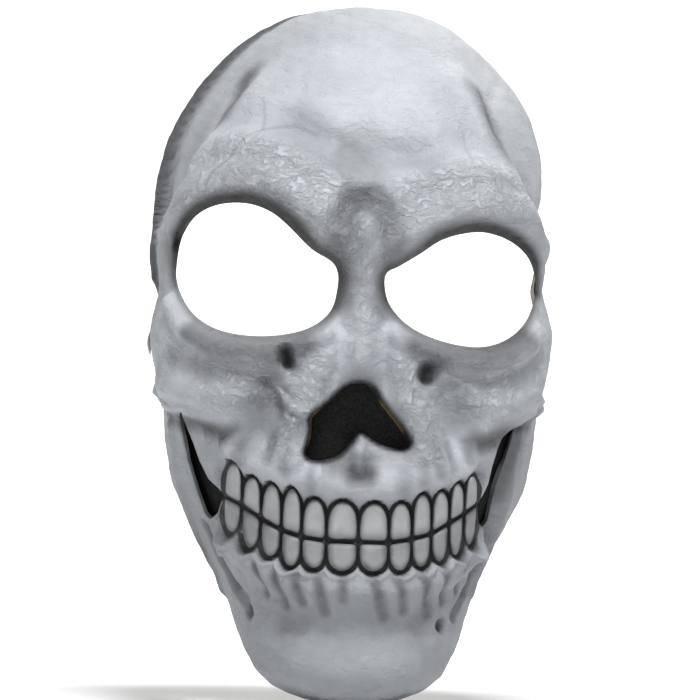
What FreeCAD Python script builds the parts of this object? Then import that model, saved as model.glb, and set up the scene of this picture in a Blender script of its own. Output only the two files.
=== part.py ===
"""Latex skull face mask with an open back: a thin moulded skin, a flexing lower jaw, the teeth, dark
fabric panels behind the nose and mouth, and an elastic nape strap on two rivets.

Frame: +Z up, the face looks along -Y, +X is the wearer's left. The origin is the centre of the
wearer's head at eye height. Millimetres.
"""

import FreeCAD
import Part
import math
import os

V = FreeCAD.Vector

# ---- driving dimensions ----
SKIN = 2.0              # latex wall
GAUZE = 1.0             # fabric panel thickness
GLUE = 0.2              # skin to whatever is glued inside it
SECTION_POINTS = 28     # points round each closed section
FAR = 240.0             # longer than the mask in any direction

# Closed sections of the outer surface, chin to crown:
# height, half width, y of the widest place, front y, rear y, squareness of the front half
SECTIONS = [
    (-187.4, 10.0, -86.0, -98.0, -74.0, 2.0),
    (-184.0, 25.0, -82.0, -107.0, -60.0, 2.0),
    (-178.0, 36.5, -76.0, -112.0, -45.0, 2.0),
    (-168.0, 44.0, -67.0, -114.0, -28.0, 2.1),
    (-150.0, 51.0, -52.0, -112.0, 0.0, 2.1),
    (-134.0, 56.5, -40.0, -112.0, 25.0, 2.2),
    (-120.0, 63.5, -33.0, -111.0, 45.0, 2.2),
    (-106.0, 72.0, -27.0, -111.0, 60.0, 2.3),
    (-92.0, 79.0, -25.0, -114.0, 70.0, 2.4),
    (-75.0, 81.7, -25.0, -115.0, 80.0, 2.6),
    (-55.0, 84.0, -25.0, -116.0, 90.0, 2.8),
    (-36.0, 88.0, -25.0, -117.0, 100.0, 2.9),
    (-22.0, 89.5, -24.0, -116.0, 106.0, 3.0),
    (-5.0, 85.5, -15.0, -116.0, 111.0, 3.0),
    (9.0, 86.5, -8.0, -120.0, 112.5, 3.0),
    (25.0, 85.0, -1.0, -117.0, 112.0, 2.8),
    (45.0, 84.0, 5.0, -111.0, 108.0, 2.5),
    (62.0, 80.5, 8.0, -103.0, 101.0, 2.3),
    (80.0, 72.0, 8.0, -91.0, 90.0, 2.1),
    (96.0, 59.0, 8.0, -73.0, 75.0, 2.0),
    (108.0, 45.0, 7.0, -55.0, 57.0, 2.0),
    (116.0, 32.0, 6.0, -36.0, 41.0, 2.0),
    (121.0, 16.0, 5.0, -14.0, 21.0, 2.0),
]
LEAN = 5.0              # the crown leans this far to the wearer's left
LEAN_FROM, LEAN_OVER = 10.0, 90.0
MID_Z = -33.0           # height about which the inner surfaces shrink
HALF_HEIGHT = 155.0

# Eye holes, seen from the front: (x from the midline, z), inner corner first
EYE_RIGHT = [(-11.5, 2.5), (-23.0, 17.5), (-38.5, 30.0), (-56.0, 33.5), (-70.5, 25.0),
             (-78.0, 9.0), (-78.5, -6.0), (-69.0, -19.5), (-50.0, -26.0), (-28.0, -25.0),
             (-14.5, -14.0)]
EYE_LEFT = [(11.5, -0.5), (24.5, 10.5), (38.0, 19.5), (55.0, 24.5), (70.0, 18.0),
            (78.0, 5.0), (78.5, -7.5), (69.5, -20.5), (51.0, -28.5), (30.0, -25.5),
            (15.5, -13.5)]
NOSE = [(0.0, -46.0), (8.0, -48.5), (15.0, -58.0), (21.0, -70.0), (19.0, -75.5),
        (9.0, -74.0), (0.0, -69.5), (-10.0, -77.0), (-21.0, -79.5), (-23.5, -73.0),
        (-18.0, -60.5), (-9.5, -52.0)]

# Seen from the side (y, z): the trimmed rear rim, and the parting between skull and lower jaw
RIM = [(15.0, 150.0), (12.0, 110.0), (9.0, 60.0), (4.0, 10.0), (-4.0, -40.0), (-14.0, -80.0),
       (-32.0, -120.0), (-54.0, -160.0), (-74.0, -205.0)]
SKULL_LOWER = [(-150.0, -114.2), (-109.5, -114.2), (-105.0, -110.8), (-101.4, -107.8), (-97.7, -104.2),
               (-95.0, -100.8), (-93.0, -97.0), (-91.6, -92.0), (-90.8, -77.0), (-89.4, -70.0),
               (-85.0, -62.0), (-79.0, -60.0), (-66.0, -59.0), (-50.0, -57.0), (-38.0, -52.0),
               (30.0, -48.0), (30.0, -FAR), (-150.0, -FAR)]
JAW_OUTLINE = [(-150.0, -115.8), (-109.5, -115.8), (-105.0, -112.6), (-101.4, -109.6), (-97.7, -106.0),
               (-95.0, -102.8), (-93.5, -100.5), (-88.0, -104.0), (-82.0, -108.0), (-79.0, -108.0),
               (-81.0, -100.0), (-83.6, -92.0), (-81.7, -71.0), (-79.5, -66.0), (-76.0, -63.0),
               (-66.0, -61.5), (-50.0, -59.5), (-38.0, -55.0), (30.0, -51.0), (30.0, -FAR),
               (-150.0, -FAR)]
MOUTH_PANEL = [(-150.0, -88.0), (-104.0, -88.0), (-94.0, -56.0), (-64.0, -54.0), (-68.0, -100.0),
               (-76.0, -125.0), (-150.0, -132.0)]
NOSE_PANEL = (31.0, 24.0, -63.0)    # half width, half height, centre z

# Teeth: outer edge of each tooth from the midline, gum height of the upper and lower tooth
TOOTH_EDGES = [13.7, 24.2, 33.0, 41.2, 48.7, 55.4]
UPPER_GUM = [-97.3, -97.0, -92.7, -90.9, -87.0, -82.5]
LOWER_GUM = [-129.3, -129.0, -127.5, -124.0, -120.5, -115.0]
BITE_Z = -115.0
BITE_RISE = 17.5        # how much higher the bite line is at the last tooth
BITE_POWER = 2.6
TOOTH_GAP = 0.5         # between neighbours, and between the two rows
TOOTH_DEPTH = 5.0
TOOTH_SUNK = 0.8        # tooth into the skin

# Nape strap and its rivets
RIVET_Y, RIVET_Z = -14.0, -30.0
SHANK_R = 2.0
RUN_CLEAR = 0.05
CAP_R, CAP_T = 5.5, 1.6
CAP_DOME_R = 12.0
CAP_LIFT = 0.3          # skin to the underside of the cap
WASHER_R, WASHER_T = 5.0, 1.0
WASHER_GAP = 0.1        # strap to the washer
PATCH_R = 10.5
STRAP_W = 20.0
STRAP_T = 1.5
STRAP_IN = 5.8          # outer surface of the skin to the strap
STRAP_END = 10.0        # strap in front of the rivet
STRAP_DROP = 12.0       # degrees the strap falls towards the nape
# The loop round the back of the head, from above (x, y), from the rivet to the middle
STRAP_LOOP = [(81.7, 12.0), (77.0, 36.0), (67.0, 59.0), (49.0, 79.0), (26.0, 90.5), (0.0, 94.0)]


def shrink(section, by):
    """The same section moved inwards by a wall thickness."""
    z, half, y_wide, y_front, y_rear, square = section
    z = MID_Z + (z - MID_Z) * (HALF_HEIGHT - by) / HALF_HEIGHT
    return (z, half - by, y_wide, y_front + by, y_rear - by, square)


def lean(z):
    """Sideways shift of the section at a height, growing smoothly towards the crown."""
    share = min(max((z - LEAN_FROM) / LEAN_OVER, 0.0), 1.0)
    return LEAN * share * share * (3 - 2 * share)


def section_point(section, angle):
    """Point on a section; angle 0 is the front, 90 degrees the +X side."""
    z, half, y_wide, y_front, y_rear, square = section
    power = 2.0 / (square if math.cos(angle) > 0 else 2.0)
    across = math.copysign(abs(math.sin(angle)) ** power, math.sin(angle))
    along = abs(math.cos(angle)) ** power
    reach = y_front - y_wide if math.cos(angle) > 0 else y_rear - y_wide
    return V(lean(z) + half * across, y_wide + reach * along, z)


def head(by=0.0):
    """The solid head shape, moved inwards by a distance."""
    wires = []
    for section in SECTIONS:
        inner = shrink(section, by)
        if min(inner[1], inner[2] - inner[3], inner[4] - inner[2]) < 3.0:
            continue
        points = [section_point(inner, 2 * math.pi * i / SECTION_POINTS) for i in range(SECTION_POINTS)]
        curve = Part.BSplineCurve()
        curve.interpolate(Points=points, PeriodicFlag=True)
        wires.append(Part.Wire([curve.toShape()]))
    return Part.makeLoft(wires, True, False, False)


def side_prism(outline, smooth=False, x0=-FAR / 2, x1=FAR / 2):
    """Solid whose outline is given seen from the side, as (y, z)."""
    points = [V(x0, y, z) for y, z in outline]
    if smooth:
        curve = Part.BSplineCurve()
        curve.interpolate(Points=points)
        edges = [curve.toShape(), Part.makeLine(points[-1], V(x0, FAR, -FAR)),
                 Part.makeLine(V(x0, FAR, -FAR), V(x0, FAR, points[0].z)),
                 Part.makeLine(V(x0, FAR, points[0].z), points[0])]
        wire = Part.Wire(edges)
    else:
        wire = Part.makePolygon(points + [points[0]])
    return Part.Face(wire).extrude(V(x1 - x0, 0, 0))


def front_prism(outline, y0, y1):
    """Solid whose rounded outline is given seen from the front, as (x, z)."""
    curve = Part.BSplineCurve()
    curve.interpolate(Points=[V(x, y0, z) for x, z in outline], PeriodicFlag=True)
    return Part.Face(Part.Wire([curve.toShape()])).extrude(V(0, y1 - y0, 0))


def section_at(z):
    """Section at any height, between the given ones."""
    for low, high in zip(SECTIONS, SECTIONS[1:]):
        if low[0] <= z <= high[0]:
            share = (z - low[0]) / (high[0] - low[0])
            return tuple(a + (b - a) * share for a, b in zip(low, high))
    raise ValueError(z)


def front_y(x, z):
    """Outer surface y in front, at x and z."""
    _, half, y_wide, y_front, _, square = section_at(z)
    return y_wide + (y_front - y_wide) * (1 - (abs(x) / half) ** square) ** (1 / square)


def side_x(y, z):
    """Outer surface half width at y and z."""
    _, half, y_wide, y_front, y_rear, square = section_at(z)
    if y > y_wide:
        return half * math.sqrt(1 - ((y - y_wide) / (y_rear - y_wide)) ** 2)
    return half * (1 - ((y - y_wide) / (y_front - y_wide)) ** square) ** (1 / square)


def bite_z(x):
    return BITE_Z + BITE_RISE * (abs(x) / TOOTH_EDGES[-1]) ** BITE_POWER


def between(inner_edge, outer_edge, z):
    """The wedge of the dental arch that one tooth may fill, between its two neighbours."""
    pairs = []
    for edge, inset in ((inner_edge, TOOTH_GAP / 2), (outer_edge, -TOOTH_GAP / 2)):
        run = V(2.0, front_y(edge + 1.0, z) - front_y(edge - 1.0, z), 0).normalize()
        outward = V(run.y, -run.x, 0) * (2 * TOOTH_DEPTH)
        place = V(edge, front_y(edge, z), -FAR) + run * inset
        pairs.append((place - outward, place + outward))
    corners = [pairs[0][0], pairs[0][1], pairs[1][1], pairs[1][0]]
    return Part.Face(Part.makePolygon(corners + corners[:1])).extrude(V(0, 0, 2 * FAR))


def tooth(inner_edge, outer_edge, gum, side, upper):
    """One tooth: a tapering block on the dental arch, wide at the bite and narrow at the gum."""
    middle = (inner_edge + outer_edge) / 2
    bite = bite_z(middle)
    mid_z = (bite + gum) / 2
    y_in, y_out = front_y(inner_edge, mid_z), front_y(outer_edge, mid_z)
    run = V(outer_edge - inner_edge, y_out - y_in, 0)
    width = run.Length - TOOTH_GAP
    run.normalize()
    outward = V(run.y, -run.x, 0)
    heights = [front_y(middle, z) for z in (bite, gum)]
    centre = V(middle, min(heights), 0) + outward * (TOOTH_DEPTH / 2 - TOOTH_SUNK)
    step = 1 if upper else -1
    rows = []
    for share, wide, deep in ((0.0, 1.0, 0.7), (0.35, 1.0, 1.0), (0.75, 0.9, 0.95), (1.0, 0.5, 0.6)):
        z = bite + step * TOOTH_GAP / 2 + share * (gum - bite - step * TOOTH_GAP)
        half_w, half_d = width * wide / 2, TOOTH_DEPTH * deep / 2
        corners = []
        for k in range(16):
            a = 2 * math.pi * k / 16
            u = math.copysign(abs(math.cos(a)) ** 0.6, math.cos(a)) * half_w
            v = math.copysign(abs(math.sin(a)) ** 0.6, math.sin(a)) * half_d
            corners.append(centre + run * u + outward * v + V(0, 0, z))
        curve = Part.BSplineCurve()
        curve.interpolate(Points=corners, PeriodicFlag=True)
        rows.append(Part.Wire([curve.toShape()]))
    if not upper:
        rows.reverse()
    solid = Part.makeLoft(rows, True, False, False).common(between(inner_edge, outer_edge, mid_z))
    if side < 0:
        solid = solid.mirror(V(0, 0, 0), V(1, 0, 0))
    return solid


def layer(back, thick):
    """A sheet that follows the head shape, back behind the outer surface."""
    return head(back).cut(head(back + thick))


def disc(side, x_from, thick, radius):
    """Disc on a rivet axis, growing outwards from x_from."""
    return Part.makeCylinder(radius, thick, V(side * x_from, RIVET_Y, RIVET_Z), V(side, 0, 0))


def ribbon(points, thick, z_low, width):
    """A band of even thickness along half a loop seen from above, mirrored to the other side."""
    loop = points + [(-x, y) for x, y in reversed(points[:-1])]
    inner = []
    for i, (x, y) in enumerate(loop):
        before, after = loop[max(i - 1, 0)], loop[min(i + 1, len(loop) - 1)]
        run = V(after[0] - before[0], after[1] - before[1], 0).normalize()
        inner.append((x - run.y * thick, y + run.x * thick))
    curves = []
    for line in (loop, inner):
        curve = Part.BSplineCurve()
        curve.interpolate(Points=[V(x, y, z_low) for x, y in line])
        curves.append(curve.toShape())
    ends = [Part.makeLine(V(*loop[k], z_low), V(*inner[k], z_low)) for k in (0, -1)]
    wire = Part.Wire(Part.sortEdges(curves + ends)[0])
    return Part.Face(wire).extrude(V(0, 0, width))


def save(name, shape):
    solids = shape.Solids
    assert solids and all(s.isValid() and s.Volume > 0 for s in solids), name
    out = solids[0] if len(solids) == 1 else Part.makeCompound(solids)
    out.exportStep(f"parts/{name}.step")
    print(f"{name}: {len(solids)} solid(s), {sum(s.Volume for s in solids):.0f} mm3")


os.makedirs("parts", exist_ok=True)

# ---- the moulded skin, in an upper part and a lower jaw ----
shell = layer(0.0, SKIN).cut(side_prism(RIM, smooth=True))
eyes = [front_prism(EYE_RIGHT, -FAR, -12.0), front_prism(EYE_LEFT, -FAR, -12.0)]
nose = front_prism(NOSE, -FAR, -60.0)
holes = [disc(side, 0, FAR, SHANK_R + RUN_CLEAR) for side in (1, -1)]
skull = shell.cut(side_prism(SKULL_LOWER))
for cutter in eyes + [nose] + holes:
    skull = skull.cut(cutter)
jaw = shell.common(side_prism(JAW_OUTLINE))
save("skull_skin", skull)
save("jaw_skin", jaw)

# ---- teeth ----
for side, word in ((-1, "right"), (1, "left")):
    edges = [0.0] + TOOTH_EDGES
    for n in range(len(TOOTH_EDGES)):
        save(f"upper_tooth_{word}_{n + 1}", tooth(edges[n], edges[n + 1], UPPER_GUM[n], side, True))
        save(f"lower_tooth_{word}_{n + 1}", tooth(edges[n], edges[n + 1], LOWER_GUM[n], side, False))

# ---- fabric panels behind the nose and the mouth ----
half_w, half_h, nose_z = NOSE_PANEL
oval = [(half_w * math.cos(a), nose_z + half_h * math.sin(a))
        for a in (2 * math.pi * k / 12 for k in range(12))]
lining = layer(SKIN + GLUE, GAUZE)
save("nose_gauze", lining.common(front_prism(oval, -FAR, -60.0)))
save("mouth_gauze", lining.common(side_prism(MOUTH_PANEL)))

# ---- nape strap, patches and rivets ----
wall_x = side_x(RIVET_Y, RIVET_Z)
strap_x = wall_x - STRAP_IN
ends = [(strap_x, RIVET_Y - STRAP_END), (strap_x, RIVET_Y)]
strap = ribbon(ends + STRAP_LOOP, STRAP_T, RIVET_Z - STRAP_W / 2, STRAP_W)
strap.rotate(V(0, RIVET_Y, RIVET_Z), V(1, 0, 0), -STRAP_DROP)
patches = lining.cut(side_prism(RIM, smooth=True))
for side, word in ((-1, "right"), (1, "left")):
    bore = disc(side, 0, FAR, SHANK_R + RUN_CLEAR)
    strap = strap.cut(bore)
    patch = patches.common(disc(side, wall_x - 20.0, 40.0, PATCH_R)).cut(bore)
    save(f"strap_patch_{word}", patch)
    cap_x = wall_x + CAP_LIFT
    dome = Part.makeSphere(CAP_DOME_R, V(side * (cap_x + CAP_T - CAP_DOME_R), RIVET_Y, RIVET_Z))
    save(f"rivet_cap_{word}", disc(side, cap_x, CAP_T, CAP_R).common(dome))
    tail_x = strap_x - STRAP_T - WASHER_GAP
    shank = disc(side, tail_x, cap_x - tail_x, SHANK_R)
    washer = disc(side, tail_x - WASHER_T, WASHER_T, WASHER_R)
    save(f"rivet_post_{word}", shank.fuse(washer))
save("nape_strap", strap)
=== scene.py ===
import math

import bpy
import numpy as np
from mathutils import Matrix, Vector


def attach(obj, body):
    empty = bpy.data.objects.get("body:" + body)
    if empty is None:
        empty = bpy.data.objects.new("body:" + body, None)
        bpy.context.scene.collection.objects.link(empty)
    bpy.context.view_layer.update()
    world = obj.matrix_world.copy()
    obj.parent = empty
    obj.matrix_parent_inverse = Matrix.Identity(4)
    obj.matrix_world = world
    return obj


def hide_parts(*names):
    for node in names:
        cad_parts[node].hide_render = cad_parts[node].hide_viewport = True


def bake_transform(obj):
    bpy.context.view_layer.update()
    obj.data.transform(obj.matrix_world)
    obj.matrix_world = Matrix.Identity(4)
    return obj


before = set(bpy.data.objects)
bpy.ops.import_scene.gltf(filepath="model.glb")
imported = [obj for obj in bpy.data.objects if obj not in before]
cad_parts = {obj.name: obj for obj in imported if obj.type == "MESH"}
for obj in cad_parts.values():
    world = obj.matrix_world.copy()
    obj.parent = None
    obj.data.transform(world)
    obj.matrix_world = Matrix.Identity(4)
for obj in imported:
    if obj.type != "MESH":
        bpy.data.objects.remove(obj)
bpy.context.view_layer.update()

bpy.ops.object.select_all(action="DESELECT")

# ---------------------------------------------------------------- the sculpt
# One dense clay form that both latex skins are cast from. A ball is pressed to the head's sections,
# the relief is worked in with strokes, and the airbrush coats, the painted shade and the wrinkle coats are
# laid on its points.
# Millimetres until it is cast.
bpy.ops.mesh.primitive_ico_sphere_add(subdivisions=8, radius=1.0)
clay = bpy.context.object
ball = np.empty(len(clay.data.vertices) * 3)
clay.data.vertices.foreach_get("co", ball)
ball = ball.reshape(-1, 3)
corners = np.empty(len(clay.data.polygons) * 3, dtype=np.int64)
clay.data.polygons.foreach_get("vertices", corners)
corners = corners.reshape(-1, 3)

# height, half width, y of the widest place, y of the front, squareness
stations = np.array([
    (-187.4, 10.0, -86.0, -98.0, 2.0), (-184.0, 25.0, -82.0, -107.0, 2.0),
    (-178.0, 36.5, -76.0, -112.0, 2.0), (-168.0, 44.0, -67.0, -114.0, 2.1),
    (-150.0, 51.0, -52.0, -112.0, 2.1), (-134.0, 56.5, -40.0, -112.0, 2.2),
    (-120.0, 63.5, -33.0, -111.0, 2.2), (-106.0, 72.0, -27.0, -111.0, 2.3),
    (-92.0, 78.6, -25.0, -114.0, 2.4), (-75.0, 81.3, -25.0, -115.0, 2.6),
    (-60.0, 83.0, -25.0, -116.0, 2.8), (-45.0, 86.4, -25.0, -116.5, 2.9),
    (-36.0, 88.2, -25.0, -117.0, 2.9), (-24.0, 89.4, -24.0, -116.0, 3.0),
    (-14.0, 87.2, -19.0, -116.0, 3.0), (-5.0, 84.6, -15.0, -116.0, 3.0),
    (9.0, 86.5, -8.0, -120.0, 3.0), (20.0, 85.0, -1.0, -118.0, 2.8),
    (45.0, 84.2, 5.0, -111.0, 2.5), (62.0, 81.0, 8.0, -103.0, 2.3),
    (80.0, 72.6, 8.0, -91.0, 2.1), (96.0, 59.5, 8.0, -73.0, 2.0),
    (108.0, 45.5, 7.0, -55.0, 2.0), (116.0, 33.0, 6.0, -36.0, 2.0), (121.0, 15.5, 5.0, -14.0, 2.0)])
mid_z = -33.0
half_tall = 155.2
share = (stations[:, 0] - mid_z) / half_tall
round_off = np.sqrt(1 - share ** 2)
fine = np.linspace(-1, 1, 2001)
soft = np.exp(-0.5 * (np.arange(-60, 61) / 14.0) ** 2)
soft /= soft.sum()


def along(values, s):
    """A section value at any share of the height, smoothed between the stations."""
    line = np.interp(fine, share, values)
    line = np.convolve(np.pad(line, 60, mode="edge"), soft, mode="valid")
    return np.interp(s, fine, line)


def lean(z):
    """The crown leans to the wearer's left."""
    up = np.clip((z - 10.0) / 90.0, 0, 1)
    return 5.0 * up * up * (3 - 2 * up)


def front_y(x, z):
    """The plain form's y in front."""
    x = x - lean(np.asarray(z, float))
    s = np.clip((np.asarray(z, float) - mid_z) / half_tall, -0.999, 0.999)
    r = np.sqrt(1 - s ** 2)
    half = along(stations[:, 1] / round_off, s) * r
    deep = along((stations[:, 2] - stations[:, 3]) / round_off, s) * r
    power = along(stations[:, 4], s)
    inside = np.clip(1 - np.abs(np.asarray(x, float) / half) ** power, 0, 1)
    return along(stations[:, 2], s) - deep * inside ** (1 / power)


s = ball[:, 2]
r = np.sqrt(np.clip(1 - s ** 2, 0, 1))
turn = np.arctan2(ball[:, 0], -ball[:, 1])
turn = turn - 0.45 * np.sin(turn)       # more points in the sculpted front, fewer in the open back
power = along(stations[:, 4], s)
ahead = np.cos(turn) > 0
square = np.where(ahead, power, 2.0)
half = along(stations[:, 1] / round_off, s) * r
deep = along((stations[:, 2] - stations[:, 3]) / round_off, s) * r
form = np.empty_like(ball)
form[:, 0] = half * np.sign(np.sin(turn)) * np.abs(np.sin(turn)) ** (2 / square)
form[:, 1] = along(stations[:, 2], s) - np.sign(np.cos(turn)) * np.where(ahead, deep, 120 * r) \
    * np.abs(np.cos(turn)) ** (2 / square)
form[:, 2] = mid_z + half_tall * s
form[:, 0] += lean(form[:, 2])


def trim(points, faces, field):
    """Cuts a surface along field = 0 and keeps the positive side. The nearest points move onto the cut."""
    points = points.copy()
    field = field.copy()
    edges = np.unique(np.sort(np.concatenate([faces[:, [0, 1]], faces[:, [1, 2]], faces[:, [2, 0]]]),
                              axis=1), axis=0)
    a, b = edges[:, 0], edges[:, 1]
    cross = field[a] * field[b] < 0
    a, b = a[cross], b[cross]
    t = field[a] / (field[a] - field[b])
    near = np.where(t < 0.5, a, b)
    other = np.where(t < 0.5, b, a)
    t = np.minimum(t, 1 - t)
    order = np.argsort(-t)
    spot = points[near] + (points[other] - points[near]) * t[:, None]
    points[near[order]] = spot[order]
    field[near] = 0
    worst = field[faces].min(axis=1)
    middle = field[faces].mean(axis=1)
    faces = faces[(worst >= 0) & (middle > 0)]
    return points, faces


def loop(points, closed=True, parts=10):
    """A smooth line through the given points."""
    p = np.array(points, float)
    if closed:
        p = np.vstack([p[-1], p, p[:2]])
    else:
        p = np.vstack([2 * p[0] - p[1], p, 2 * p[-1] - p[-2]])
    out = []
    for i in range(1, len(p) - 2):
        for k in range(parts):
            u = k / parts
            out.append(0.5 * (2 * p[i] + (p[i + 1] - p[i - 1]) * u
                              + (2 * p[i - 1] - 5 * p[i] + 4 * p[i + 1] - p[i + 2]) * u ** 2
                              + (3 * p[i] - p[i - 1] - 3 * p[i + 1] + p[i + 2]) * u ** 3))
    if not closed:
        out.append(p[-2])
    return np.array(out)


def outside(px, pz, outline):
    """Distance from a closed outline, positive outside it."""
    a = outline
    b = np.roll(outline, -1, axis=0)
    best = np.full(len(px), 1e9)
    inside = np.zeros(len(px), bool)
    for (ax, az), (bx, bz) in zip(a, b):
        ex, ez = bx - ax, bz - az
        t = np.clip(((px - ax) * ex + (pz - az) * ez) / (ex * ex + ez * ez + 1e-12), 0, 1)
        best = np.minimum(best, (px - ax - t * ex) ** 2 + (pz - az - t * ez) ** 2)
        if az != bz:
            hit = ((az > pz) != (bz > pz)) & (px < (bx - ax) * (pz - az) / (bz - az) + ax)
            inside ^= hit
    best = np.sqrt(best)
    return np.where(inside, -best, best)


# The open back, trimmed along the rim
rim = np.array([(-205, -74), (-160, -54), (-120, -32), (-80, -14), (-40, -4), (10, 4), (60, 9), (110, 12),
                (150, 15)], float)
rim_line = loop(rim, closed=False)
form, corners = trim(form, corners, np.interp(form[:, 2], rim_line[:, 0], rim_line[:, 1]) - form[:, 1])
used, corners = np.unique(corners, return_inverse=True)
corners = corners.reshape(-1, 3)
form = form[used]

clay.data.clear_geometry()
clay.data.from_pydata(form.tolist(), [], corners.tolist())
clay.data.update()
normal = np.empty(len(form) * 3, dtype=np.float32)
clay.data.vertex_normals.foreach_get("vector", normal)
normal = normal.reshape(-1, 3).astype(float)
if (normal * (form - np.array([0, 0, mid_z]))).sum(axis=1).mean() < 0:
    normal = -normal
    corners = corners[:, ::-1]

X, Y, Z = form.T


def reach(points):
    """Distance from every point of the clay to a stroke drawn on the plain form from the front, (x, z)."""
    p = np.array([(q[0], q[2] if len(q) > 2 else float(front_y(q[0], q[1])), q[1]) for q in points])
    best = np.full(len(form), 1e9)
    if len(p) == 1:
        return np.sqrt(((form - p[0]) ** 2).sum(axis=1))
    for a, b in zip(p[:-1], p[1:]):
        e = b - a
        t = np.clip((form - a) @ e / (e @ e), 0, 1)
        best = np.minimum(best, ((form - a - t[:, None] * e) ** 2).sum(axis=1))
    return np.sqrt(best)


def soft_touch(points, radius):
    return np.clip(1 - (reach(points) / radius) ** 2, 0, 1) ** 2


eye_right = loop([(-10.7, 4.9), (-10.9, -9.4), (-16.1, -18.3), (-27.1, -24.1), (-44.0, -26.3),
                  (-60.5, -24.1), (-71.8, -17.4), (-77.8, -7.1), (-79.6, 4.0), (-78.2, 17.4),
                  (-72.6, 27.2), (-62.9, 32.6), (-50.4, 33.5), (-39.2, 29.9), (-30.1, 22.7),
                  (-21.1, 12.9)])
eye_left = loop([(10.8, 1.4), (11.9, -9.4), (17.4, -17.4), (26.4, -23.6), (39.9, -28.1), (53.3, -29.4),
                 (64.4, -26.3), (73.2, -19.2), (78.3, -9.4), (79.5, -0.4), (76.2, 10.7), (68.0, 18.3),
                 (56.8, 22.3), (45.7, 21.9), (34.6, 18.3), (25.8, 12.0), (17.0, 5.9)])
nose_hole = loop([(-5.5, -47.6), (-9.9, -51.7), (-13.2, -55.1), (-17.6, -58.4), (-20.9, -61.8),
                  (-20.8, -67.3), (-21.8, -72.9), (-22.8, -77.4), (-20.5, -79.8), (-15.0, -79.8),
                  (-8.3, -77.4), (-2.9, -71.3), (0.4, -67.4), (3.7, -68.7), (8.3, -71.8), (13.9, -73.7),
                  (19.5, -74.4), (22.0, -71.4), (18.3, -65.1), (13.7, -59.5), (9.1, -53.6), (5.7, -48.2),
                  (0.1, -46.2)])

nose_cut = loop([(-5.5, -47.6), (-9.9, -51.7), (-12.8, -55.3), (-14.8, -60.0), (-15.8, -63.0),
                 (-15.6, -68.0), (-17.4, -72.5), (-21.0, -77.4), (-20.5, -79.8), (-15.0, -79.8),
                 (-8.3, -77.4), (-2.9, -71.3), (0.4, -67.4), (3.7, -68.7), (8.3, -71.8), (13.9, -73.7),
                 (18.5, -74.0), (18.4, -71.4), (13.9, -66.0), (9.9, -60.5), (6.8, -54.8), (5.0, -48.4),
                 (0.1, -46.2)])

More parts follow.
